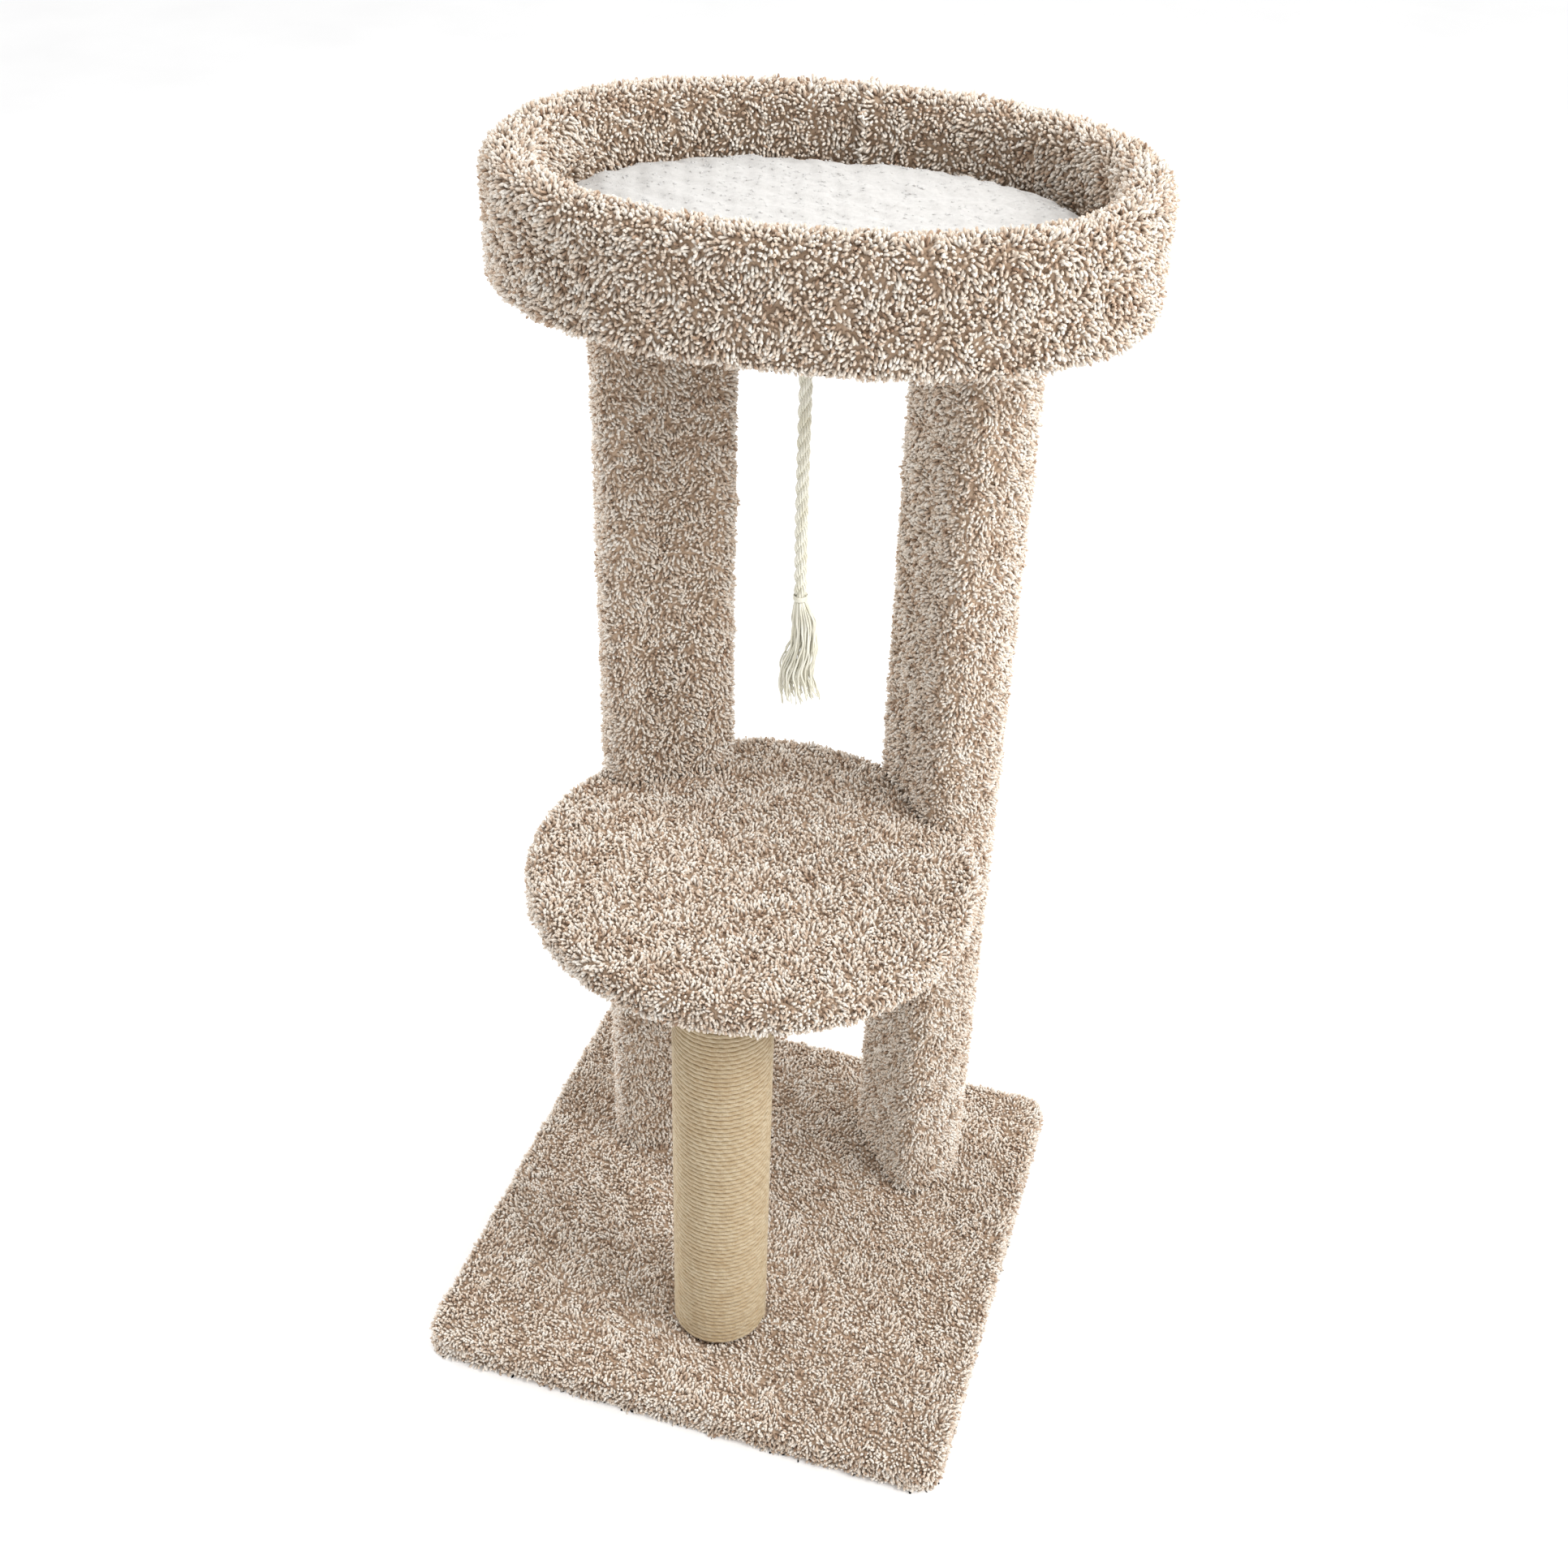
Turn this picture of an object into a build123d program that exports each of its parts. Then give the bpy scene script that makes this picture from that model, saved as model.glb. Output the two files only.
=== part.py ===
from build123d import *
import os
from math import copysign, cos, pi, sin

# A cat tree: a square carpeted base, two tall half-round posts that carry an oval bed, a round shelf
# notched round the posts and held up in front by a rope-wound scratching post, a loose pad in the bed
# and a rope toy that hangs under the bed. Millimetres. The origin is the middle of the base's underside,
# +Z is up and -Y is the front.

CARPET = 9.5  # backing and pile together

# Base
BASE_WIDTH = 508.0
BASE_DEPTH = 500.0
BASE_HEIGHT = 30.3
BASE_CORNER = 22.0
BASE_EDGE = 8.0
BASE_BOARD_TOP = BASE_HEIGHT - CARPET

# Carpeted half-round posts, their flat faces turned in towards the shelf
POST_WIDTH = 117.0
POST_DEPTH = 88.0
POST_STRAIGHT = 30.0
POST_CORNER = 20.0
LEFT_POST = (-132.5, 101.0, 36.5)  # x, y and turn in degrees about Z
RIGHT_POST = (132.7, 135.0, -49.4)

# Shelf, cut slightly oval
SHELF_CENTRE = (-2.0, -27.0)
SHELF_TURN = 6.0
SHELF_HALF_WIDTH = 197.5
SHELF_HALF_DEPTH = 190.0
SHELF_TOP = 511.5
SHELF_THICKNESS = 34.0
SHELF_EDGE = 13.0
SHELF_LOWER_EDGE = 8.5
SHELF_UNDERSIDE = SHELF_TOP - SHELF_THICKNESS
SHELF_BOARD_TOP = SHELF_TOP - CARPET
SHELF_BOARD_UNDERSIDE = SHELF_UNDERSIDE + CARPET

# Rope-wound scratching post between the base and the shelf
SCRATCH_CENTRE = (7.0, -133.0)
SCRATCH_RADIUS = 44.3
WINDING_PITCH = 5.2
WINDING_TURNS = round((SHELF_UNDERSIDE - BASE_HEIGHT) / WINDING_PITCH)
TUBE_RADIUS = SCRATCH_RADIUS - WINDING_PITCH
TUBE_WALL = 6.0
PLUG_LENGTH = 30.0

# Oval bed on top of the posts
BED_CENTRE = (29.5, 10.0)
BED_TURN = 7.2
BED_HALF_LENGTH = 243.0
BED_HALF_WIDTH = 170.8
BED_FULLNESS = 2.25  # exponent of the oval: 2 is an ellipse, more is squarer
BED_UNDERSIDE = 1032.0
BED_TOP = 1124.4
BED_BOARD = 15.0
BED_BOARD_UNDERSIDE = BED_UNDERSIDE + CARPET
BED_BOARD_TOP = BED_BOARD_UNDERSIDE + BED_BOARD
BAND = 5.0  # thin bent plywood of the bed's wall
INNER_CARPET = 23.0  # inside the wall, with the soft underlay behind it
BAND_TOP = BED_TOP - CARPET
RIM_ROUND = 15.0
BED_LOWER_ROUND = 7.0
OVAL_POINTS = 40

# Loose pad
PAD_TOP = 1080.0
PAD_GAP = 0.6
PAD_UPPER_ROUND = 7.0
PAD_LOWER_ROUND = 4.0

# Rope toy
TOY_CENTRE = (22.5, 2.0)
ROPE_RADIUS = 5.4
EYE_RADIUS = 6.0
EYE_WIRE = 1.2
EYE_SHANK = 1.5
EYE_DROP = 15.5
EYE_COVER = 3.0  # board left over the tip of the screw eye
EYE_CENTRE = BED_UNDERSIDE - EYE_DROP
RING_RADIUS = 8.5
RING_WIRE = 1.1
LOOP_RADIUS = 3.3
LOOP_STRAND = 1.6
LINK_PLAY = 0.3
SWAY_AXIS = EYE_CENTRE - EYE_RADIUS  # the height where the ring turns in the eye
RING_CENTRE = SWAY_AXIS + EYE_WIRE + RING_WIRE + LINK_PLAY - RING_RADIUS
SWING_AXIS = RING_CENTRE - RING_RADIUS  # the height where the loop turns on the ring
ROPE_TOP = 985.0
ROPE_ROUTE = (
    (22.5, 2.0, ROPE_TOP),
    (22.5, 2.0, 905.0),
    (22.9, 1.6, 820.0),
    (24.4, 2.1, 764.0),
)
WHIPPING_RADIUS = 6.9
WHIPPING_LENGTH = 20.0
BINDING_RADIUS = 6.4
BINDING_LENGTH = 5.0
TASSEL_LENGTH = 100.0
TASSEL_RADIUS = 19.0
TASSEL_SHOULDER = 0.65  # share of the radius a third of the way down
TASSEL_FOOT = 0.6  # share of the radius at the cut ends

# Fasteners
SCREW_LENGTH = 50.0
LONG_SCREW_LENGTH = 100.0
SCREW_RADIUS = 2.2
SCREW_HEAD = 4.4
SCREW_RECESS = 1.2
SCREW_SPACING = 25.0
STAPLE_CROWN = 11.0
STAPLE_LEG = 10.0
STAPLE_WIRE = 1.0
STAPLE_PROUD = 1.0  # how far a crown's middle stands off the board's edge
BASE_STAPLES = 5  # along each side
BED_STAPLES = 20
SIDE_SCREW_COVER = 14.0  # timber behind the head of a screw that runs through a post into the shelf


def ellipse_prism(half_width, half_depth, low, high):
    outline = extrude(Ellipse(half_width, half_depth), amount=high - low)
    return Pos(*SHELF_CENTRE, low) * Rot(0, 0, SHELF_TURN) * outline


def oval_prism(inset, low, high):
    """A prism on the bed's oval, drawn in from its outer face by the inset."""
    points = []
    for step in range(OVAL_POINTS):
        angle = 2 * pi * step / OVAL_POINTS
        across = abs(cos(angle)) ** (2 / BED_FULLNESS)
        along = abs(sin(angle)) ** (2 / BED_FULLNESS)
        x = copysign((BED_HALF_LENGTH - inset) * across, cos(angle))
        y = copysign((BED_HALF_WIDTH - inset) * along, sin(angle))
        points.append((x, y))
    outline = make_face(Spline(*points, periodic=True))
    return Pos(*BED_CENTRE, low) * Rot(0, 0, BED_TURN) * extrude(outline, amount=high - low)


def post_prism(place, inset, low, high):
    """A half-round post: flat front with rounded corners, short straight sides and an elliptical back."""
    half = POST_WIDTH / 2 - inset
    middle = POST_STRAIGHT - POST_DEPTH / 2
    front = POST_STRAIGHT - inset
    back = POST_DEPTH - POST_STRAIGHT - inset
    flat_part = Pos(0, middle - front / 2) * Rectangle(2 * half, front)
    behind = Pos(0, middle + back / 2) * Rectangle(2 * half, back)
    round_part = Pos(0, middle) * Ellipse(half, back) & behind
    section = flat_part + round_part
    front_corners = section.vertices().sort_by(Axis.Y)[:2]
    section = fillet(front_corners, POST_CORNER - inset)
    return Pos(place[0], place[1], low) * Rot(0, 0, place[2]) * extrude(section, amount=high - low)


def both_posts(inset, low, high):
    return [post_prism(place, inset, low, high) for place in (LEFT_POST, RIGHT_POST)]


def cut(solid, tools):
    for tool in tools:
        solid = solid - tool
    return solid


def round_edges(solid, height, radius, outermost=True):
    """Rounds the edges that lie level at the given height: the outer one alone, or all of them."""
    edges = [e for e in solid.edges() if abs(e.center(CenterOf.BOUNDING_BOX).Z - height) < 0.01]
    edges = [e for e in edges if e.bounding_box().size.Z < 0.01]
    if outermost:
        longest = max(e.length for e in edges)
        edges = [e for e in edges if e.length > 0.98 * longest]
    return fillet(edges, radius)


def screw(length, recess=True):
    """A countersunk wood screw that points down, the middle of its head's face at the origin."""
    head_depth = SCREW_HEAD - SCREW_RADIUS
    tip = 3 * SCREW_RADIUS
    with BuildLine() as half:
        Polyline(
            (0, 0),
            (SCREW_HEAD, 0),
            (SCREW_RADIUS, -head_depth),
            (SCREW_RADIUS, tip - length),
            (0, -length),
            close=True,
        )
    section = Plane.XZ * make_face(half.line)
    body = revolve(section, Axis.Z)
    if recess:
        body -= Pos(0, 0, -SCREW_RECESS) * extrude(RegularPolygon(SCREW_RADIUS, 4), amount=2 * SCREW_RECESS)
    return body


def staple():
    """A wire staple, its crown along X at the origin and its legs along +Y."""
    crown = Box(STAPLE_CROWN, STAPLE_WIRE, STAPLE_WIRE)
    for side in (-1, 1):
        middle = side * (STAPLE_CROWN - STAPLE_WIRE) / 2
        crown += Pos(middle, STAPLE_LEG / 2, 0) * Box(STAPLE_WIRE, STAPLE_LEG, STAPLE_WIRE)
    return crown


def beside(place, along, forward=0.0):
    """A point at a post, in its own turned directions."""
    turned = Vector(along, forward, 0).rotate(Axis.Z, place[2])
    return place[0] + turned.X, place[1] + turned.Y


def save(node, shape):
    export_step(shape, f"parts/{node}.step")


def make_screws(recess):
    """Every screw by node name: as fitted, or without its drive recess as the hole it makes."""
    upward = Rot(180, 0, 0) * screw(SCREW_LENGTH, recess)
    downward = screw(SCREW_LENGTH, recess)
    base_screws = []
    bed_screws = []
    side_screws = []
    for place in (LEFT_POST, RIGHT_POST):
        for along in (-SCREW_SPACING, SCREW_SPACING):
            x, y = beside(place, along)
            base_screws.append(Pos(x, y, 0) * upward)
            bed_screws.append(Pos(x, y, BED_BOARD_TOP) * downward)
            behind = POST_DEPTH / 2 - CARPET - SIDE_SCREW_COVER
            x, y = beside(place, along, behind)
            level = (SHELF_BOARD_TOP + SHELF_BOARD_UNDERSIDE) / 2
            aimed = Pos(x, y, level) * Rot(0, 0, place[2]) * Rot(-90, 0, 0)
            side_screws.append(aimed * screw(LONG_SCREW_LENGTH, recess))
    shelf_screws = []
    for along in (-SCREW_SPACING / 2, SCREW_SPACING / 2):
        x, y = SCRATCH_CENTRE[0] + along, SCRATCH_CENTRE[1]
        base_screws.append(Pos(x, y, 0) * upward)
        shelf_screws.append(Pos(x, y, SHELF_BOARD_TOP) * downward)
    return {
        "base_screws": base_screws,
        "bed_screws": bed_screws,
        "shelf_side_screws": side_screws,
        "shelf_screws": shelf_screws,
    }


def make_base(screws):
    board_width, board_depth = BASE_WIDTH - 2 * CARPET, BASE_DEPTH - 2 * CARPET
    plan = RectangleRounded(board_width, board_depth, BASE_CORNER - CARPET)
    board = extrude(plan, amount=BASE_BOARD_TOP)
    carpet = extrude(RectangleRounded(BASE_WIDTH, BASE_DEPTH, BASE_CORNER), amount=BASE_HEIGHT)
    carpet = fillet(carpet.edges().group_by(Axis.Z)[-1], BASE_EDGE)
    feet = both_posts(CARPET, 0, BASE_HEIGHT)
    feet.append(Pos(*SCRATCH_CENTRE, BASE_HEIGHT / 2) * Cylinder(TUBE_RADIUS, BASE_HEIGHT))
    save("base_board", cut(board, screws))
    save("base_carpet", cut(carpet - board, feet))

    staples = []
    sides = ((0, board_width, board_depth), (90, board_depth, board_width))
    for turn, length, across in sides:
        for half_turn in (0, 180):
            for step in range(BASE_STAPLES):
                along = (step - (BASE_STAPLES - 1) / 2) * length / (BASE_STAPLES + 0.5)
                seat = Pos(along, -across / 2 - STAPLE_PROUD, BASE_BOARD_TOP / 2)
                staples.append(Rot(0, 0, turn + half_turn) * seat * staple())
    save("base_staples", Compound(children=staples))


def make_posts(screws):
    for name, place in (("left", LEFT_POST), ("right", RIGHT_POST)):
        core = post_prism(place, CARPET, BASE_BOARD_TOP, BED_UNDERSIDE)
        top = post_prism(place, CARPET, BED_UNDERSIDE, BED_BOARD_UNDERSIDE)
        core += top & oval_prism(CARPET, BED_UNDERSIDE, BED_BOARD_UNDERSIDE)
        carpet = post_prism(place, 0, BASE_HEIGHT, BED_UNDERSIDE) - core
        save(f"{name}_post_core", cut(core, screws))
        save(f"{name}_post_carpet", cut(carpet, screws))


def make_scratching_post(screws):
    low, high = BASE_BOARD_TOP, SHELF_BOARD_UNDERSIDE
    tube_bore = TUBE_RADIUS - TUBE_WALL
    tube = Cylinder(TUBE_RADIUS, high - low) - Cylinder(tube_bore, high - low)
    save("scratching_post_tube", Pos(*SCRATCH_CENTRE, (low + high) / 2) * tube)
    for name, middle in (("lower", low + PLUG_LENGTH / 2), ("upper", high - PLUG_LENGTH / 2)):
        plug = Pos(*SCRATCH_CENTRE, middle) * Cylinder(tube_bore, PLUG_LENGTH)
        save(f"scratching_post_{name}_plug", cut(plug, screws))

    pitch = (SHELF_UNDERSIDE - BASE_HEIGHT) / WINDING_TURNS
    strand_middle = SCRATCH_RADIUS - pitch / 2
    with BuildLine() as half:
        for turn in range(WINDING_TURNS):
            foot = BASE_HEIGHT + turn * pitch
            ThreePointArc(
                (strand_middle, foot),
                (SCRATCH_RADIUS, foot + pitch / 2),
                (strand_middle, foot + pitch),
            )
        Polyline(
            (strand_middle, BASE_HEIGHT),
            (TUBE_RADIUS, BASE_HEIGHT),
            (TUBE_RADIUS, SHELF_UNDERSIDE),
            (strand_middle, SHELF_UNDERSIDE),
        )
    winding = revolve(Plane.XZ * make_face(half.line), Axis.Z)
    save("scratching_post_rope", Pos(*SCRATCH_CENTRE, 0) * winding)


def make_shelf(screws):
    inner_width, inner_depth = SHELF_HALF_WIDTH - CARPET, SHELF_HALF_DEPTH - CARPET
    notches = both_posts(0, SHELF_UNDERSIDE - 1, SHELF_TOP + 1)
    board = ellipse_prism(inner_width, inner_depth, SHELF_BOARD_UNDERSIDE, SHELF_BOARD_TOP)
    save("shelf_board", cut(board, notches + screws))

    carpet = ellipse_prism(SHELF_HALF_WIDTH, SHELF_HALF_DEPTH, SHELF_UNDERSIDE, SHELF_TOP)
    carpet = round_edges(carpet, SHELF_TOP, SHELF_EDGE)
    carpet = round_edges(carpet, SHELF_UNDERSIDE, SHELF_LOWER_EDGE)
    carpet -= ellipse_prism(inner_width, inner_depth, SHELF_UNDERSIDE, SHELF_BOARD_TOP)
    save("shelf_carpet", cut(carpet, notches))

    lining = ellipse_prism(inner_width, inner_depth, SHELF_UNDERSIDE, SHELF_BOARD_UNDERSIDE)
    tube = Pos(*SCRATCH_CENTRE, SHELF_UNDERSIDE) * Cylinder(TUBE_RADIUS, 2 * SHELF_THICKNESS)
    save("shelf_lining", cut(lining, notches + [tube]))


def make_bed(screws, eye):
    band_face = CARPET
    board_face = CARPET + BAND
    hollow_face = CARPET + BAND + INNER_CARPET
    board = oval_prism(board_face, BED_BOARD_UNDERSIDE, BED_BOARD_TOP)
    save("bed_floor_board", cut(board, screws + [eye]))

    band = oval_prism(band_face, BED_BOARD_UNDERSIDE, BAND_TOP)
    band -= oval_prism(board_face, BED_BOARD_UNDERSIDE, BAND_TOP)
    save("bed_wall_band", band)

    carpet = oval_prism(0, BED_UNDERSIDE, BED_TOP) - oval_prism(hollow_face, BED_UNDERSIDE, BED_TOP)
    carpet = round_edges(carpet, BED_TOP, RIM_ROUND, outermost=False)
    carpet = round_edges(carpet, BED_UNDERSIDE, BED_LOWER_ROUND)
    carpet -= oval_prism(band_face, BED_UNDERSIDE, BED_BOARD_TOP)
    carpet -= oval_prism(band_face, BED_BOARD_TOP, BAND_TOP) - oval_prism(board_face, BED_BOARD_TOP, BAND_TOP)
    save("bed_wall_carpet", carpet)

    lining = oval_prism(band_face, BED_UNDERSIDE, BED_BOARD_UNDERSIDE)
    cores = both_posts(CARPET, BED_UNDERSIDE - 1, BED_BOARD_UNDERSIDE + 1)
    save("bed_lining", cut(lining, cores + [eye]))

    pad = oval_prism(hollow_face + PAD_GAP, BED_BOARD_TOP + PAD_GAP / 2, PAD_TOP)
    pad = round_edges(pad, PAD_TOP, PAD_UPPER_ROUND)
    pad = round_edges(pad, BED_BOARD_TOP + PAD_GAP / 2, PAD_LOWER_ROUND)
    save("bed_pad", pad)

    staples = []
    for step in range(BED_STAPLES):
        angle = 2 * pi * (step + 0.5) / BED_STAPLES
        # The oval's outward direction at the staple
        x = copysign((BED_HALF_LENGTH - band_face) * abs(cos(angle)) ** (2 / BED_FULLNESS), cos(angle))
        y = copysign((BED_HALF_WIDTH - band_face) * abs(sin(angle)) ** (2 / BED_FULLNESS), sin(angle))
        slope_x = copysign(abs(x / BED_HALF_LENGTH) ** (BED_FULLNESS - 1) / BED_HALF_LENGTH, x)
        slope_y = copysign(abs(y / BED_HALF_WIDTH) ** (BED_FULLNESS - 1) / BED_HALF_WIDTH, y)
        outward = Vector(slope_x, slope_y, 0).normalized()
        middle = (x, y, 0) + outward * STAPLE_WIRE / 2
        seat = Plane(origin=middle, x_dir=(outward.Y, -outward.X, 0), z_dir=(0, 0, -1))
        staples.append(seat * staple())
    level = (BED_BOARD_UNDERSIDE + BED_BOARD_TOP) / 2
    turned = [Pos(*BED_CENTRE, level) * Rot(0, 0, BED_TURN) * piece for piece in staples]
    save("bed_staples", Compound(children=turned))


def make_eye():
    shank_top = BED_BOARD_TOP - EYE_COVER
    eye = Pos(0, 0, EYE_CENTRE) * Rot(0, 90, 0) * Torus(EYE_RADIUS, EYE_WIRE)
    shank_foot = EYE_CENTRE + EYE_RADIUS
    shank = Pos(0, 0, (shank_foot + shank_top) / 2) * Cylinder(EYE_SHANK, shank_top - shank_foot)
    return Pos(*TOY_CENTRE, 0) * (eye + shank)


def make_toy():
    ring = Pos(*TOY_CENTRE, RING_CENTRE) * Rot(90, 0, 0) * Torus(RING_RADIUS, RING_WIRE)
    save("toy_ring", ring)

    loop_centre = SWING_AXIS - LINK_PLAY
    with BuildLine() as loop_path:
        Line((-LOOP_RADIUS, ROPE_TOP), (-LOOP_RADIUS, loop_centre))
        RadiusArc((-LOOP_RADIUS, loop_centre), (LOOP_RADIUS, loop_centre), LOOP_RADIUS)
        Line((LOOP_RADIUS, loop_centre), (LOOP_RADIUS, ROPE_TOP))
    path = Pos(*TOY_CENTRE, 0) * (Plane.YZ * loop_path.line)
    start = Plane(origin=path @ 0, z_dir=path % 0)
    save("toy_loop", sweep(start * Circle(LOOP_STRAND), path=path))

    radii = []
    for before, corner, after in zip(ROPE_ROUTE, ROPE_ROUTE[1:], ROPE_ROUTE[2:]):
        run_in, run_out = Vector(*corner) - Vector(*before), Vector(*after) - Vector(*corner)
        half_turn = run_in.get_angle(run_out) * pi / 360
        radii.append(0.45 * min(run_in.length, run_out.length) * cos(half_turn) / sin(half_turn))
    print("toy rope radii", [round(radius) for radius in radii])
    route = FilletPolyline(*ROPE_ROUTE, radius=radii)
    rope_start = Plane(origin=route @ 0, z_dir=route % 0)
    rope = sweep(rope_start * Circle(ROPE_RADIUS), path=route)
    solid_length = rope.volume / (pi * ROPE_RADIUS**2)
    print("toy rope length", round(route.length, 1), "volume over section", round(solid_length, 1))
    save("toy_rope", rope)

    def sleeve(radius, length):
        return Cylinder(radius, length, align=(Align.CENTER, Align.CENTER, Align.MIN))

    top = Plane(origin=route @ 0, z_dir=route % 0)
    whipping = top * sleeve(WHIPPING_RADIUS, WHIPPING_LENGTH)
    save("toy_whipping", whipping - rope)
    end = Plane(origin=route @ 1, z_dir=route % 1)
    binding = end * (Pos(0, 0, -BINDING_LENGTH) * sleeve(BINDING_RADIUS, BINDING_LENGTH))
    save("toy_binding", binding - rope)

    spread = (TASSEL_SHOULDER * TASSEL_RADIUS, 0.35 * TASSEL_LENGTH)
    widest = (TASSEL_RADIUS, 0.9 * TASSEL_LENGTH)
    foot = (TASSEL_FOOT * TASSEL_RADIUS, TASSEL_LENGTH)
    with BuildLine() as half:
        Spline((ROPE_RADIUS, 0), spread, widest)
        Polyline(widest, foot, (0, TASSEL_LENGTH), (0, 0), (ROPE_RADIUS, 0))
    tassel = revolve(Plane.XZ * make_face(half.line), Axis.Z)
    save("toy_tassel", end * tassel)


os.makedirs("parts", exist_ok=True)
for node, pieces in make_screws(recess=True).items():
    save(node, Compound(children=pieces))
holes = make_screws(recess=False)
make_base(holes["base_screws"])
make_posts(holes["base_screws"] + holes["bed_screws"] + holes["shelf_side_screws"])
make_scratching_post(holes["base_screws"] + holes["shelf_screws"])
make_shelf(holes["shelf_screws"] + holes["shelf_side_screws"])
screw_eye = make_eye()
save("toy_screw_eye", screw_eye)
make_bed(holes["bed_screws"], screw_eye)
make_toy()
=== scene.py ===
from math import cos, pi, radians, sin

import bmesh
import bpy
import numpy as np
from mathutils import Matrix, Vector
from mathutils.bvhtree import BVHTree


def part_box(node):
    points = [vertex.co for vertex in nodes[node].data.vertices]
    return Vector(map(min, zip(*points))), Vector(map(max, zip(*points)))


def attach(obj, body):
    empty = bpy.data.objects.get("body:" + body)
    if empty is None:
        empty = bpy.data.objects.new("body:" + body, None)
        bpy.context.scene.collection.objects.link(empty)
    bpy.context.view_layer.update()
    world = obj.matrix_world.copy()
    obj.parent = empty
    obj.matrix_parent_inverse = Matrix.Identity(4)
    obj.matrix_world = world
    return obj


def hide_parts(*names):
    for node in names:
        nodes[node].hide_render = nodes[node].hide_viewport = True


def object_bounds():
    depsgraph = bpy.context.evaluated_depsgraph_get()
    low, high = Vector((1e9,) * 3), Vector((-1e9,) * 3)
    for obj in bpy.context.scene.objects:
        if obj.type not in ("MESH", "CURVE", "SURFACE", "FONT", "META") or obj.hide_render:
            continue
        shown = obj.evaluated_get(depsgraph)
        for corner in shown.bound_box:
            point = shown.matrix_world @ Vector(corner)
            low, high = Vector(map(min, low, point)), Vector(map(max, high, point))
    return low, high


# The looks of a cat tree: tufted carpet on its base, posts, shelf and bed, a jute winding, a sherpa pad
# and a cotton rope toy. Metres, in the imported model's frame.

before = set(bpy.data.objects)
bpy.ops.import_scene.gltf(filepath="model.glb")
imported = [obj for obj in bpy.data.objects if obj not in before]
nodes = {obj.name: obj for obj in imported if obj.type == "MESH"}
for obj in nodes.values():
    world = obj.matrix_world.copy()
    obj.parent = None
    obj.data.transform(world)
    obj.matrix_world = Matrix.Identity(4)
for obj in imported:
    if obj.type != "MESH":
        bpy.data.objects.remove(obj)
cad_low, cad_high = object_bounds()

# Camera
CAMERA_PLACE = (0.39562, -1.29571, 1.57948)
CAMERA_HEADING = -16.33
CAMERA_PITCH = 36.56
CAMERA_ROLL = 1.82
CAMERA_LENS = 44.80
SENSOR = 36.0

# Carpet pile
CARPET_NODES = (
    "base_carpet",
    "left_post_carpet",
    "right_post_carpet",
    "shelf_carpet",
    "shelf_lining",
    "bed_lining",
    "bed_wall_carpet",
)
PILE_SPACING = 0.0022
PILE_DEPTH = 0.0040
PILE_LENGTH = (0.0050, 0.0074)
PILE_RADIUS = (0.00105, 0.00150)
PILE_LEAN = (0.15, 0.85)
PILE_BEND = (-0.3, 0.8)
PILE_SWIRL = 1.0
PILE_UNEVEN = 0.10
BACKING_DEPTH = 0.0032
SWIRL_WAVES = (0.012, 0.045)
UNEVEN_WAVES = (0.009, 0.03)
COMB_DOWN = 0.5
TONE_SHAPE = (1.9, 1.15)
TONE_PATCHES = 0.07
TONE_WAVES = (0.012, 0.05)
TONE_SPECKLE = 0.04
WAVES = 8
CANDIDATES = 5.0
NUDGE = 0.0004
CLEARANCE = 0.004
FLOOR_GAP = 0.0004
CARPET_SEED = 100
WELD = 0.00002
PROBE_SHARE = 0.7

# The seam of the bed's carpet, upright in the middle of the rear wall
SEAM_X = 0.0205
SEAM_GAP = 0.0018
SEAM_RIDGE = 0.007
SEAM_PULL = 3.0
SEAM_GROWTH = 1.55
# Painted highlight: the yarn ends on the seam's ridge are made this much lighter
SEAM_PAINTED_HIGHLIGHT = 0.12

# A yarn end: how far along it each ring lies, and that ring's share of the full radius
YARN_END = ((0.0, 0.8), (0.45, 1.0), (0.82, 0.95), (1.0, 0.5))
YARN_TWIST = 1.9

# Sherpa fleece
FLEECE_SPACING = 0.0022
FLEECE_LUMPS = 0.0007
LUMP_WAVES = (0.010, 0.03)
CURL_DEPTH = 0.0019
CURL_LENGTH = (0.0026, 0.0044)
CURL_RADIUS = (0.0009, 0.0014)
CURL_LEAN = (0.7, 1.4)
CURL_BEND = (0.3, 1.5)
PAD_SHRINK = (0.97, 0.96, 0.72)
PAD_VOXEL = 0.005
PAD_PRESSURE = 4.0
PAD_RISE = 0.006
CLOTH_STEPS = 20
FLEECE_SEED = 21
FLEECE_GLOW = 0.5
FLEECE_GLOW_DEPTH = 0.005

# Jute winding
POST_CENTRE = (0.007, -0.133)
POST_RADIUS = 0.0443
WINDING_TURNS = 86
WINDING_STEPS = 150
TWINE_RADIUS = 0.0026
TWINE_SIDES = 9
PLY_LENGTH = 0.0185
PLY_DEPTH = 0.05
# PLY_SHADE and GROOVE_LIGHT set painted shade: darker between the plies and in the groove to the next turn
PLY_SHADE = 0.14
SLACK = 0.00016
SLACK_RATES = (0.37, 0.113)
SLUB_SHARE = 0.03
SLUB_RATES = (311, 37)
SLUB_SWAY = 3
GROOVE_LIGHT = (0.45, 0.55)
# Waves along the twine, as (height, rate, start), so that no turn lies quite like the next
DRIFT_WAVES = ((0.00010, 1.37, 0), (0.00008, 2.61, 1))
WANDER_WAVES = ((0.9, 7.1, 0), (0.7, 17.3, 2))
FIBRES = 3200
FIBRE_RADIUS = 0.00007
FIBRE_REACH = (0.003, 0.009)
FIBRE_STAND = (0.0002, 0.0016)
FIBRE_CLIMB = 0.0015
FIBRE_DEPTH = 0.0006
FIBRE_END_GAP = 0.004
FIBRE_RINGS = 5
FIBRE_ARCH = 2.2
FIBRE_LIGHT = 0.9
FIBRE_SEED = 5

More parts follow.
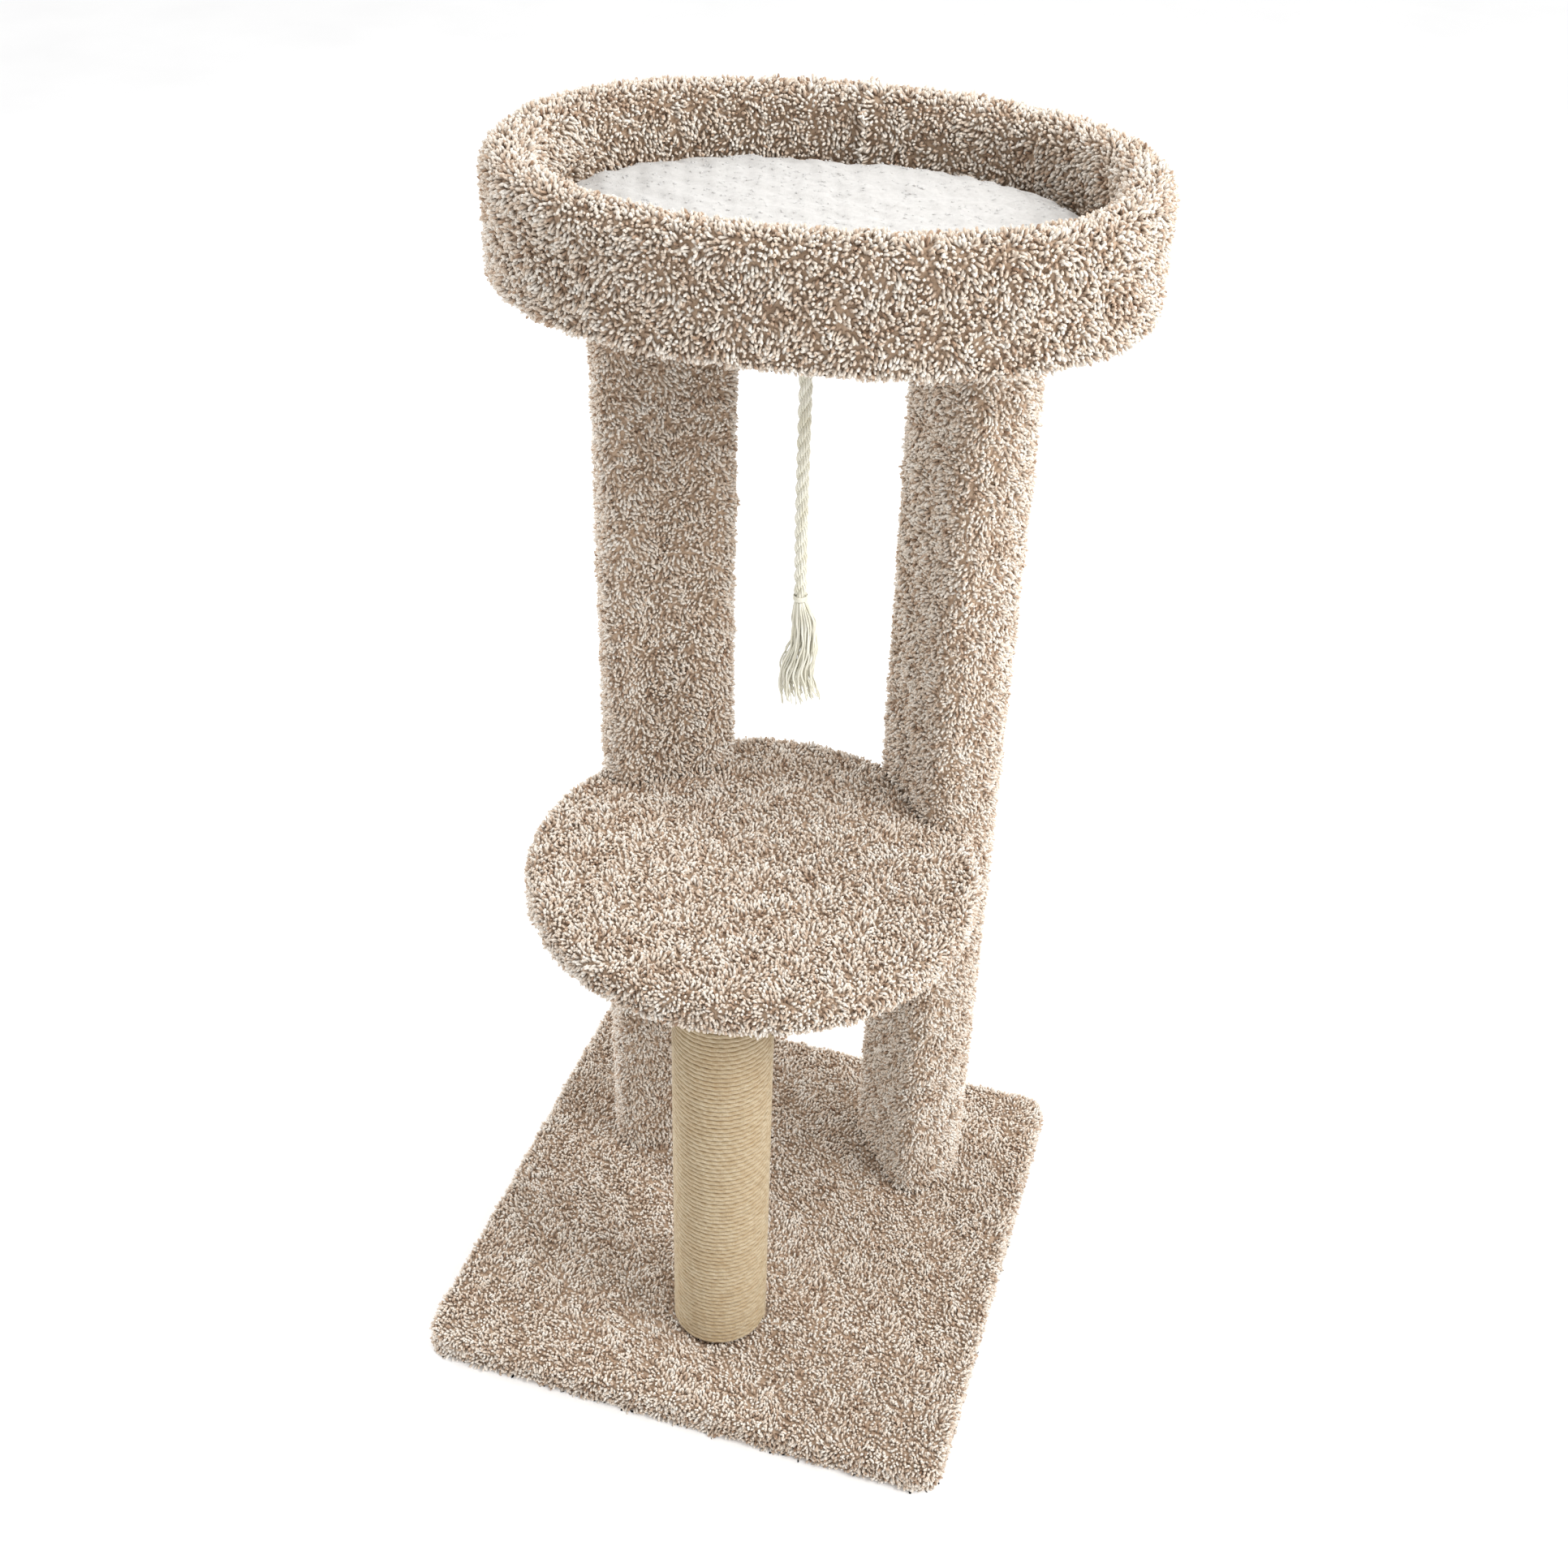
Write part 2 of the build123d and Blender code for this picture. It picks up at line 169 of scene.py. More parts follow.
# Rope toy
ROPE_ROUTE = (
    (0.0225, 0.0020, 0.985),
    (0.0225, 0.0020, 0.905),
    (0.0229, 0.0016, 0.820),
    (0.0244, 0.0021, 0.764),
)
STRANDS = 3
STRAND_OFFSET = 0.0026
ROPE_LAY = 0.039
YARNS = 7
YARN_OFFSET = 0.00205
YARN_RADIUS = 0.00092
YARN_LAY = 0.034
YARN_SIDES = 6
TASSEL_YARNS = 58
TASSEL_LENGTH = 0.100
TASSEL_RADIUS = 0.0175
TASSEL_YARN_RADIUS = 0.00078
# How wide the tassel is, as a share of its radius, at shares of its length
TASSEL_PLACES = (0, 0.08, 0.2, 0.4, 0.6, 1.0)
TASSEL_WIDTHS = (0.24, 0.4, 0.58, 0.64, 0.8, 1.0)
TASSEL_SWAY = 0.0036
TASSEL_RIPPLE = 0.0009
TASSEL_LIFT = 0.0005
TASSEL_SEED = 11
TASSEL_RINGS = 46
TASSEL_SWAY_WAVES = 0.95
TASSEL_RIPPLE_WAVES = (1.9, 2.7)
TASSEL_LIFT_WAVES = (3.5, 5.5)
TASSEL_SHORTEST = 0.86
TASSEL_JITTER = 0.15
TASSEL_TIED = 4  # the waves grow to their full height over the first 1 / 4 of the length
GOLDEN_ANGLE = 2.39996
WHIPPING_RADIUS = 0.0060
WHIPPING_THREAD = 0.0007
BINDING_RADIUS = 0.0056
BINDING_THREAD = 0.0005
THREAD_STEPS = 24

# Stage. A light is its name, place, target, size, power and colour.
FLOOR_REACH = 12.0
FLOOR_DROP = 0.0001
LIGHTS = (
    ("key", (2.6, -0.7, 2.8), (0, 0, 0.6), 1.4, 73.0, (1.0, 0.995, 0.985)),
    ("rim", (-2.4, 1.0, 2.0), (0, 0, 0.6), 1.2, 46.0, (1.0, 1.0, 1.0)),
    ("side", (1.4, 0.35, 1.7), (0.27, 0.02, 1.08), 0.5, 6.0, (0.97, 0.99, 1.0)),
)


def srgb(red, green, blue):
    """A linear colour from ordinary 0 to 255 screen numbers."""
    shares = [value / 255 for value in (red, green, blue)]
    linear = [s / 12.92 if s <= 0.04045 else ((s + 0.055) / 1.055) ** 2.4 for s in shares]
    return (*linear, 1.0)


def add_node(tree, kind, **values):
    """Adds a shader node. Each value is one of its inputs, with _ for a space, or one of its settings."""
    made = tree.nodes.new(kind)
    for key, value in values.items():
        name = key.replace("_", " ")
        if name in made.inputs:
            made.inputs[name].default_value = value
        else:
            setattr(made, key, value)
    return made


def ramp(tree, factor, stops):
    """A colour ramp driven by a socket. stops are (place, colour)."""
    made = tree.nodes.new("ShaderNodeValToRGB")
    elements = made.color_ramp.elements
    while len(elements) < len(stops):
        elements.new(0.5)
    for element, (place, colour) in zip(elements, stops):
        element.position = place
        element.color = colour
    tree.links.new(factor, made.inputs["Fac"])
    return made.outputs["Color"]


def mix(tree, kind, factor, first, second):
    """Mixes two colours. factor is a number or a socket."""
    made = tree.nodes.new("ShaderNodeMix")
    made.data_type = "RGBA"
    made.blend_type = kind
    for name, value in (("Factor", factor), ("A", first), ("B", second)):
        sockets = [s for s in made.inputs if s.name == name and s.enabled]
        if hasattr(value, "is_linked"):
            tree.links.new(value, sockets[0])
        else:
            sockets[0].default_value = value
    return [s for s in made.outputs if s.enabled][0]


def ranged(tree, value, low, high):
    """A 0 to 1 socket brought to the range low to high."""
    made = add_node(tree, "ShaderNodeMapRange", To_Min=low, To_Max=high)
    tree.links.new(value, made.inputs["Value"])
    return made.outputs["Result"]


def new_material(name, sheen=0.0, metallic=0.0):
    made = bpy.data.materials.new(name)
    made.use_nodes = True
    tree = made.node_tree
    shader = tree.nodes["Principled BSDF"]
    shader.inputs["Sheen Weight"].default_value = sheen
    shader.inputs["Sheen Roughness"].default_value = 0.5
    shader.inputs["Metallic"].default_value = metallic
    return made, tree, shader


def place_of(tree):
    return tree.nodes.new("ShaderNodeTexCoord").outputs["Object"]


def noise(tree, scale, detail=3.0, stretch=(1, 1, 1)):
    """Noise in the object's own metres, drawn out by the stretch."""
    mapping = add_node(tree, "ShaderNodeMapping", Scale=stretch)
    tree.links.new(place_of(tree), mapping.inputs["Vector"])
    made = add_node(tree, "ShaderNodeTexNoise", Scale=scale, Detail=detail)
    tree.links.new(mapping.outputs["Vector"], made.inputs["Vector"])
    return made.outputs["Fac"]


def finish_surface(tree, shader, colour, rough, height, bump):
    """Joins colour, roughness from a 0 to 1 socket, and a bump of that depth in metres to the shader."""
    tree.links.new(colour, shader.inputs["Base Color"])
    tree.links.new(rough, shader.inputs["Roughness"])
    bumped = add_node(tree, "ShaderNodeBump", Strength=0.6, Distance=bump)
    tree.links.new(height, bumped.inputs["Height"])
    tree.links.new(bumped.outputs["Normal"], shader.inputs["Normal"])


def attribute(tree, name):
    return add_node(tree, "ShaderNodeAttribute", attribute_name=name).outputs["Fac"]


def pile_material():
    """Twisted yarn ends: mostly cream, with beige, tan and brown ones among them, each darkened towards
    its root as painted shade deep in the pile.
    """
    made, tree, shader = new_material("carpet_pile", sheen=0.12)
    tone = attribute(tree, "tone")
    yarn = ramp(
        tree,
        tone,
        (
            (0.00, srgb(150, 120, 96)),
            (0.18, srgb(188, 161, 137)),
            (0.42, srgb(214, 196, 177)),
            (0.68, srgb(230, 218, 204)),
            (1.00, srgb(242, 236, 227)),
        ),
    )
    # Painted shade: each yarn end is darker towards its root, deep in the pile
    depth = ramp(tree, attribute(tree, "along"), ((0.1, srgb(168, 150, 132)), (0.65, srgb(255, 255, 255))))
    colour = mix(tree, "MULTIPLY", 1.0, yarn, depth)
    fibres = noise(tree, 1400.0, 2.0)
    finish_surface(tree, shader, colour, ranged(tree, fibres, 0.75, 0.98), fibres, bump=0.0003)
    return made


def backing_material():
    """The foot of the pile, between the yarn ends: its brown is partly its own colour and partly painted
    shade deep in the pile.
    """
    made, tree, shader = new_material("carpet_backing")
    # Painted shade: the backing is coloured darker than most yarn ends, for the shade deep in the pile
    colour = ramp(tree, noise(tree, 260.0), ((0.3, srgb(150, 125, 102)), (0.7, srgb(190, 166, 143))))
    grain = noise(tree, 900.0, 2.0)
    finish_surface(tree, shader, colour, ranged(tree, grain, 0.85, 1.0), grain, bump=0.0008)
    return made


def jute_material():
    """Pale jute twine: straw coloured, with painted shade in the groove to the next turn and between its
    plies, and a little uneven dye.
    """
    made, tree, shader = new_material("jute", sheen=0.2)
    # Painted shade: the along attribute says how lit the twine is, dark in its grooves and light on its
    # outside
    along = ramp(
        tree,
        attribute(tree, "along"),
        ((0.1, srgb(102, 81, 50)), (0.55, srgb(165, 144, 110)), (1.0, srgb(195, 181, 154))),
    )
    patches = ramp(tree, noise(tree, 60.0, 4.0), ((0.3, srgb(243, 236, 226)), (0.65, srgb(255, 255, 255))))
    threads = ramp(
        tree, noise(tree, 1200.0, 3.0), ((0.3, srgb(214, 198, 172)), (0.6, srgb(255, 255, 255)))
    )
    colour = mix(tree, "MULTIPLY", 1.0, mix(tree, "MULTIPLY", 1.0, along, patches), threads)
    fibres = noise(tree, 1600.0, 3.0)
    finish_surface(tree, shader, colour, ranged(tree, fibres, 0.7, 0.95), fibres, bump=0.0004)
    return made


def cotton_material():
    """Natural cotton yarn, cream with faint yellow streaks."""
    made, tree, shader = new_material("cotton", sheen=0.2)
    colour = ramp(
        tree,
        noise(tree, 220.0, 3.0, (1, 1, 0.2)),
        ((0.25, srgb(204, 199, 178)), (0.5, srgb(221, 218, 203)), (0.75, srgb(232, 230, 219))),
    )
    fibres = noise(tree, 2600.0, 2.0, (1, 1, 0.35))
    finish_surface(tree, shader, colour, ranged(tree, fibres, 0.7, 0.95), fibres, bump=0.0002)
    return made


def fleece_material():
    """White sherpa fleece with soft grey hollows between the curls."""
    made, tree, shader = new_material("fleece", sheen=0.1)
    colour = ramp(
        tree,
        noise(tree, 240.0, 4.0),
        ((0.3, srgb(190, 188, 185)), (0.6, srgb(200, 198, 195))),
    )
    shader.inputs["Subsurface Weight"].default_value = FLEECE_GLOW
    shader.inputs["Subsurface Radius"].default_value = (1.0, 1.0, 1.0)
    shader.inputs["Subsurface Scale"].default_value = FLEECE_GLOW_DEPTH
    curls = noise(tree, 1100.0, 2.0)
    finish_surface(tree, shader, colour, ranged(tree, curls, 0.85, 1.0), curls, bump=0.0006)
    return made


def wood_material(name, light, dark, stretch, rings):
    """Wood with its grain drawn out along one axis."""
    made, tree, shader = new_material(name)
    grain = noise(tree, rings, 5.0, stretch)
    colour = ramp(tree, grain, ((0.3, dark), (0.5, light), (0.7, dark)))
    pores = noise(tree, 1500.0, 2.0, stretch)
    finish_surface(tree, shader, colour, ranged(tree, pores, 0.5, 0.75), pores, bump=0.0002)
    return made


def metal_material(name, colour, worn):
    """Plated or plain steel wire, with fine scratches."""
    made, tree, shader = new_material(name, metallic=1.0)
    scratches = noise(tree, 1800.0, 3.0, (1, 1, 0.2))
    finish_surface(
        tree,
        shader,
        ramp(tree, noise(tree, 500.0), ((0.3, worn), (0.6, colour))),
        ranged(tree, scratches, 0.25, 0.5),
        scratches,
        bump=0.00005,
    )
    return made


def cardboard_material():
    made, tree, shader = new_material("tube_board")
    colour = ramp(tree, noise(tree, 180.0, 4.0), ((0.3, srgb(150, 120, 88)), (0.7, srgb(178, 148, 112))))
    grain = noise(tree, 800.0, 2.0)
    finish_surface(tree, shader, colour, ranged(tree, grain, 0.8, 0.95), grain, bump=0.0002)
    return made


def quad_mesh(name, points, quads, values):
    """A smooth mesh of four-sided faces. values are named numbers, one for each point."""
    mesh = bpy.data.meshes.new(name)
    mesh.vertices.add(len(points))
    mesh.vertices.foreach_set("co", points.astype(np.float32).ravel())
    mesh.loops.add(quads.size)
    mesh.loops.foreach_set("vertex_index", quads.astype(np.int32).ravel())
    mesh.polygons.add(len(quads))
    mesh.polygons.foreach_set("loop_start", np.arange(0, quads.size, 4, dtype=np.int32))
    mesh.update(calc_edges=True)
    mesh.shade_smooth()
    for key, numbers in values.items():
        stored = mesh.attributes.new(key, "FLOAT", "POINT")
        stored.data.foreach_set("value", numbers.astype(np.float32).ravel())
    return mesh


def add_piece(name, mesh, material, body, replaced=()):
    """Puts a mesh in the scene as a piece that rides on a body and stands for CAD nodes."""
    made = bpy.data.objects.new(name, mesh)
    bpy.context.scene.collection.objects.link(made)
    mesh.materials.clear()
    mesh.materials.append(material)
    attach(made, body)
    if replaced:
        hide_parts(*replaced)
    return made


def unit(vectors):
    return vectors / np.linalg.norm(vectors, axis=-1, keepdims=True)


def tubes(lines, radii, sides, reference):
    """Round tubes along lines, an array of (tube, ring, xyz). No line runs along the reference."""
    along = unit(np.gradient(lines, axis=1))
    first = unit(np.cross(along, np.array(reference, float)))
    second = np.cross(along, first)
    count, rings = lines.shape[:2]
    turns = np.arange(sides) * 2 * pi / sides
    radii = np.broadcast_to(radii, (count, rings, sides))[..., None]
    spokes = first[:, :, None] * np.cos(turns)[:, None] + second[:, :, None] * np.sin(turns)[:, None]
    points = lines[:, :, None] + spokes * radii
    index = np.arange(count * rings * sides).reshape(count, rings, sides)
    low, high = index[:, :-1], index[:, 1:]
    quads = np.stack([low, np.roll(low, -1, 2), np.roll(high, -1, 2), high], axis=-1)
    return points.reshape(-1, 3), quads.reshape(-1, 4)


def ends_drawn_in(rings, share=0.1):
    """Each ring's share of the full radius on a tube whose two ends close."""
    shares = np.ones(rings)
    shares[[0, -1]] = share
    return shares


def ripples(points, rng, shortest, longest, parts=1):
    """Smooth noise round zero, made of waves of those lengths in metres. Each point gets parts numbers."""
    total = np.zeros((len(points), parts))
    for _ in range(WAVES):
        way = unit(rng.normal(size=3)) * 2 * pi / rng.uniform(shortest, longest)
        total += np.sin((points @ way)[:, None] + rng.uniform(0, 2 * pi, parts))
    return total / (WAVES / 2) ** 0.5


def yarn_ends(roots, normals, rng, length, radius, lean, bend, comb=(0, 0, 0), growth=1.0):
    """Short bent yarn ends, one on each root. Returns points, quads, and how far along each point is."""
    count = len(roots)
    away = rng.normal(size=(count, 3)) + PILE_SWIRL * ripples(roots, rng, *SWIRL_WAVES, 3) + comb
    away = unit(away - normals * np.sum(away * normals, axis=1, keepdims=True))
    across = np.cross(normals, away)
    uneven = 1 + PILE_UNEVEN * ripples(roots, rng, *UNEVEN_WAVES)
    lengths = rng.uniform(*length, count)[:, None] * uneven * growth
    radii = rng.uniform(*radius, count)[:, None]
    tilt = rng.uniform(*lean, count)[:, None]
    curve = rng.uniform(*bend, count)[:, None]
    spin = rng.uniform(0, 2 * pi, count)[:, None]
    rings = []
    for share, girth in YARN_END:
        angle = tilt + curve * share
        middle = tilt + curve * share / 2
        centre = roots + lengths * share * (normals * np.cos(middle) + away * np.sin(middle))
        upward = away * np.cos(angle) - normals * np.sin(angle)
        for corner in range(4):
            turn = spin + YARN_TWIST * share + corner * pi / 2
            rings.append(centre + radii * girth * (across * np.cos(turn) + upward * np.sin(turn)))
    points = np.stack(rings, axis=1)
    index = np.arange(count * len(rings)).reshape(count, len(YARN_END), 4)
    low, high = index[:, :-1], index[:, 1:]
    sides = np.stack([low, high, np.roll(high, -1, 2), np.roll(low, -1, 2)], axis=-1)
    tips = index[:, -1, ::-1]
    quads = np.concatenate([sides.reshape(-1, 4), tips.reshape(-1, 4)])
    along = np.tile(np.repeat([share for share, _ in YARN_END], 4), count)
    return points.reshape(-1, 3), quads, along


def triangles_of(mesh):
    """Corner places and corner normals of a mesh's triangles, as two arrays of (triangle, corner, xyz)."""
    mesh.calc_loop_triangles()
    count = len(mesh.loop_triangles)
    corners = np.empty(count * 3, np.int32)
    loops = np.empty(count * 3, np.int32)
    mesh.loop_triangles.foreach_get("vertices", corners)
    mesh.loop_triangles.foreach_get("loops", loops)
    places = np.empty(len(mesh.vertices) * 3, np.float32)
    mesh.vertices.foreach_get("co", places)
    normals = np.empty(len(mesh.loops) * 3, np.float32)
    mesh.corner_normals.foreach_get("vector", normals)
    return (
        places.reshape(-1, 3)[corners].reshape(-1, 3, 3).astype(float),
        normals.reshape(-1, 3)[loops].reshape(-1, 3, 3).astype(float),
    )


def thinned(points, spacing):
    """The points' numbers, without those closer than the spacing to one kept earlier."""
    cells = {}
    kept = []
    steps = [(a, b, c) for a in (-1, 0, 1) for b in (-1, 0, 1) for c in (-1, 0, 1)]
    keys = np.floor(points / spacing).astype(int).tolist()
    limit = spacing * spacing
    for number, ((x, y, z), (i, j, k)) in enumerate(zip(points.tolist(), keys)):
        free = True
        for a, b, c in steps:
            for u, v, w in cells.get((i + a, j + b, k + c), ()):
                if (x - u) ** 2 + (y - v) ** 2 + (z - w) ** 2 < limit:
                    free = False
                    break
            if not free:
                break
        if free:
            cells.setdefault((i, j, k), []).append((x, y, z))
            kept.append(number)
    return kept


def scatter(mesh, spacing, rng):
    """Evenly spread points on a mesh, and the surface's normal at each."""
    places, normals = triangles_of(mesh)
    areas = np.linalg.norm(np.cross(places[:, 1] - places[:, 0], places[:, 2] - places[:, 0]), axis=1) / 2
    wanted = int(CANDIDATES * areas.sum() / spacing**2)
    chosen = rng.choice(len(areas), wanted, p=areas / areas.sum())
    shares = rng.dirichlet((1, 1, 1), wanted)[:, :, None]
    points = np.sum(places[chosen] * shares, axis=1)
    facing = unit(np.sum(normals[chosen] * shares, axis=1))
    kept = thinned(points, spacing)
    return points[kept], facing[kept]


def solid_tree(names):
    """One search tree of these CAD nodes' faces."""
    vertices = []
    faces = []
    for name in names:
        mesh = nodes[name].data
        start = len(vertices)
        vertices.extend(v.co.copy() for v in mesh.vertices)
        faces.extend([start + number for number in face.vertices] for face in mesh.polygons)
    return BVHTree.FromPolygons(vertices, faces)


def showing(tree, point, normal):
    """Whether a point of a CAD surface lies open, with no other part on it."""
    way = Vector(normal)
    _, facing, _, distance = tree.ray_cast(Vector(point) + way * NUDGE, way)
    return facing is None or (distance > CLEARANCE and facing.dot(way) < 0)


def open_points(tree, points, normals):
    """A mask of the points where pile can stand: not covered, and not under the base."""
    seen = [showing(tree, p, n) for p, n in zip(points.tolist(), normals.tolist())]
    on_floor = (points[:, 2] < 2 * CLEARANCE) & (normals[:, 2] < -0.5)
    return np.array(seen) & ~on_floor


def backing(name, tree, material, body, node):
    """The woven foot of a carpet: the open part of its CAD surface, drawn in to the depth of the pile."""
    shape = bmesh.new()
    shape.from_mesh(nodes[node].data)
    bmesh.ops.remove_doubles(shape, verts=shape.verts, dist=WELD)
    covered = []
    for face in shape.faces:
        middle = face.calc_center_median()
        tests = [middle] + [middle.lerp(v.co, PROBE_SHARE) for v in face.verts]
        on_floor = middle.z < NUDGE and face.normal.z < 0
        if on_floor or not any(showing(tree, p, face.normal) for p in tests):
            covered.append(face)
    bmesh.ops.delete(shape, geom=covered, context="FACES")
    shape.normal_update()
    for vertex in shape.verts:
        vertex.co -= vertex.normal * BACKING_DEPTH
    mesh = bpy.data.meshes.new(name)
    shape.to_mesh(mesh)
    shape.free()
    return add_piece(name, mesh, material, body, (node,))


def pile_tones(points, rng):
    """How light each yarn end is, 0 to 1: mostly light, in loose patches."""
    tones = rng.beta(*TONE_SHAPE, len(points))
    return np.clip(tones + TONE_PATCHES * ripples(points, rng, *TONE_WAVES)[:, 0], 0, 1)


def tufted(node, tree, pile, foot, seed):
    """Replaces a CAD carpet with its backing and its yarn ends."""
    rng = np.random.default_rng(seed)
    points, normals = scatter(nodes[node].data, PILE_SPACING, rng)
    mask = open_points(tree, points, normals)
    points, normals = points[mask], normals[mask]
    upright = "post" in node or "wall" in node
    comb = np.tile((0.0, 0.0, -COMB_DOWN if upright else 0.0), (len(points), 1))
    growth = np.ones((len(points), 1))
    if node == "bed_wall_carpet":
        past = points[:, 0] - SEAM_X
        behind = points[:, 1] > 0
        ridge = behind & (np.abs(past) < SEAM_RIDGE)
        comb[ridge, 0] = -SEAM_PULL * np.sign(past[ridge])
        growth[ridge] = SEAM_GROWTH
        kept = ~(behind & (np.abs(past) < SEAM_GAP))
        points, normals, comb, growth = points[kept], normals[kept], comb[kept], growth[kept]
    # Painted highlight on the seam's ridge: its raised yarn ends are lighter
    tones = pile_tones(points, rng) + SEAM_PAINTED_HIGHLIGHT * (growth[:, 0] > 1)
    roots = points - normals * PILE_DEPTH
    made, quads, along = yarn_ends(
        roots, normals, rng, PILE_LENGTH, PILE_RADIUS, PILE_LEAN, PILE_BEND, comb, growth
    )
    made[:, 2] = np.maximum(made[:, 2], FLOOR_GAP)
    per_end = len(YARN_END) * 4
    tone = np.repeat(tones, per_end) + rng.normal(0, TONE_SPECKLE, len(made))
    mesh = quad_mesh(node + "_pile", made, quads, {"tone": np.clip(tone, 0, 1), "along": along})
    add_piece(node + "_pile", mesh, pile, "frame", (node,))
    backing(node + "_backing", tree, foot, "frame", node)
    return len(points)


def make_camera():
    heading = radians(CAMERA_HEADING)
    pitch = radians(CAMERA_PITCH)
    roll = radians(CAMERA_ROLL)
    forward = Vector((sin(heading) * cos(pitch), cos(heading) * cos(pitch), -sin(pitch)))
    level = Vector((cos(heading), -sin(heading), 0))
    upright = level.cross(forward)
    right = level * cos(roll) + upright * sin(roll)
    up = upright * cos(roll) - level * sin(roll)
    lens = bpy.data.cameras.new("camera")
    lens.sensor_width = SENSOR
    lens.lens = CAMERA_LENS
    made = bpy.data.objects.new("camera", lens)
    bpy.context.scene.collection.objects.link(made)
    turned = Matrix((right, up, -forward)).transposed().to_4x4()
    made.matrix_world = Matrix.Translation(CAMERA_PLACE) @ turned
    bpy.context.scene.camera = made


def route_line():
    """The toy rope's smooth centreline, as points read from its spline."""
    curve = bpy.data.curves.new("toy_route", "CURVE")
    curve.dimensions = "3D"
    spline = curve.splines.new("NURBS")
    spline.points.add(len(ROPE_ROUTE) - 1)
    for point, place in zip(spline.points, ROPE_ROUTE):
        point.co = (*place, 1.0)
    spline.order_u = 3
    spline.use_endpoint_u = True
    spline.resolution_u = 60
    holder = bpy.data.objects.new("toy_route", curve)
    bpy.context.scene.collection.objects.link(holder)
    bpy.context.view_layer.update()
    mesh = bpy.data.meshes.new_from_object(holder)
    line = np.array([v.co for v in mesh.vertices], float)
    bpy.data.objects.remove(holder)
    return line


def carried(line):
    """Distance along a line of points, and two directions across it at each point."""
    steps = np.linalg.norm(np.diff(line, axis=0), axis=1)
    distance = np.concatenate([[0], np.cumsum(steps)])
    along = unit(np.gradient(line, axis=0))
    first = unit(np.cross(along, (0, 1, 0)))
    return distance, first, np.cross(along, first)


def make_rope(line, material):
    """Three strands of seven yarns, laid round the rope's centreline."""
    distance, first, second = carried(line)
    rope_turn = distance * 2 * pi / ROPE_LAY
    yarn_turn = -distance * 2 * pi / YARN_LAY
    lines = []
    for strand in range(STRANDS):
        angle = rope_turn + strand * 2 * pi / STRANDS
        centre = STRAND_OFFSET * (first * np.cos(angle)[:, None] + second * np.sin(angle)[:, None])
        for yarn in range(YARNS):
            turn = yarn_turn + yarn * 2 * pi / YARNS + strand
            offset = YARN_OFFSET * (first * np.cos(turn)[:, None] + second * np.sin(turn)[:, None])
            lines.append(line + centre + offset)
    lines = np.array(lines)
    radii = YARN_RADIUS * ends_drawn_in(lines.shape[1])[:, None]
    points, quads = tubes(lines, radii, YARN_SIDES, (0, 1, 0))
    mesh = quad_mesh("toy_rope_strands", points, quads, {})
    return add_piece("toy_rope_strands", mesh, material, "toy", ("toy_rope",))


def thread_wrap(node, along, radius, thread, material):
    """Thread wound closely round the rope, in the place of a CAD node."""
    low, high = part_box(node)
    height = high.z - low.z
    turns = max(3, round(height / (2 * thread)))
    share = np.linspace(0, 1, turns * THREAD_STEPS)
    angle = share * turns * 2 * pi
    along = unit(np.array(along, float))
    first = unit(np.cross(along, (0, 1, 0)))
    second = np.cross(along, first)
    line = np.array((low + high) / 2) + along * (share[:, None] - 0.5) * (height - 2 * thread)
    line = line + radius * (first * np.cos(angle)[:, None] + second * np.sin(angle)[:, None])
    points, quads = tubes(line[None], thread * ends_drawn_in(len(line))[:, None], YARN_SIDES, along)
    mesh = quad_mesh(node + "_thread", points, quads, {})
    return add_piece(node + "_thread", mesh, material, "toy", (node,))


def make_tassel(top, down, material):
    """Wavy rope yarns that spread below the tie and sway to one side and back."""
    rng = np.random.default_rng(TASSEL_SEED)
    share = np.linspace(0, 1, TASSEL_RINGS)
    spread = np.interp(share, TASSEL_PLACES, TASSEL_WIDTHS)
    sway = TASSEL_SWAY * np.sin(2 * pi * share * TASSEL_SWAY_WAVES)
    loose = np.minimum(1, share * TASSEL_TIED)
    lines = []
    for number in range(TASSEL_YARNS):
        around = number * GOLDEN_ANGLE + rng.normal(0, TASSEL_JITTER)
        out = ((number + 0.5) / TASSEL_YARNS) ** 0.5
        length = TASSEL_LENGTH * rng.uniform(TASSEL_SHORTEST, 1.0)
        ripples_along = share * rng.uniform(*TASSEL_RIPPLE_WAVES) + rng.uniform(0, 0.3)
        ripple = TASSEL_RIPPLE * np.sin(2 * pi * ripples_along)
        lifts_along = share * rng.uniform(*TASSEL_LIFT_WAVES) + rng.uniform(0, 1)
        lift = TASSEL_LIFT * np.sin(2 * pi * lifts_along)
        radius = TASSEL_RADIUS * out * spread
        x = radius * cos(around) + (sway + ripple) * loose + lift * share
        y = radius * sin(around) + lift * loose
        line = np.array(top) + np.outer(share * length, down)
        line = line + np.stack([x, y, np.zeros_like(x)], axis=1)
        lines.append(line)
    lines = np.array(lines)
    radii = TASSEL_YARN_RADIUS * ends_drawn_in(lines.shape[1], 0.3)[:, None]
    points, quads = tubes(lines, radii, YARN_SIDES, (0, 1, 0))
    mesh = quad_mesh("toy_tassel_yarns", points, quads, {})
    return add_piece("toy_tassel_yarns", mesh, material, "toy", ("toy_tassel",))


def make_toy(cotton):
    """The rope toy: strands, thread round its top and above the tassel, and the tassel."""
    line = route_line()
    rope = make_rope(line, cotton)
    loop = nodes["toy_loop"]
    loop.data.materials.clear()
    loop.data.materials.append(cotton)
    down = unit(line[-1] - line[-4])
    whipping = thread_wrap("toy_whipping", (0, 0, 1), WHIPPING_RADIUS, WHIPPING_THREAD, cotton)
    binding = thread_wrap("toy_binding", -down, BINDING_RADIUS, BINDING_THREAD, cotton)
    tassel = make_tassel(line[-1], down, cotton)


def waves(along, parts):
    """The sum of sine waves along a line. parts are (height, rate, start)."""
    return sum(height * np.sin(along * rate + start) for height, rate, start in parts)


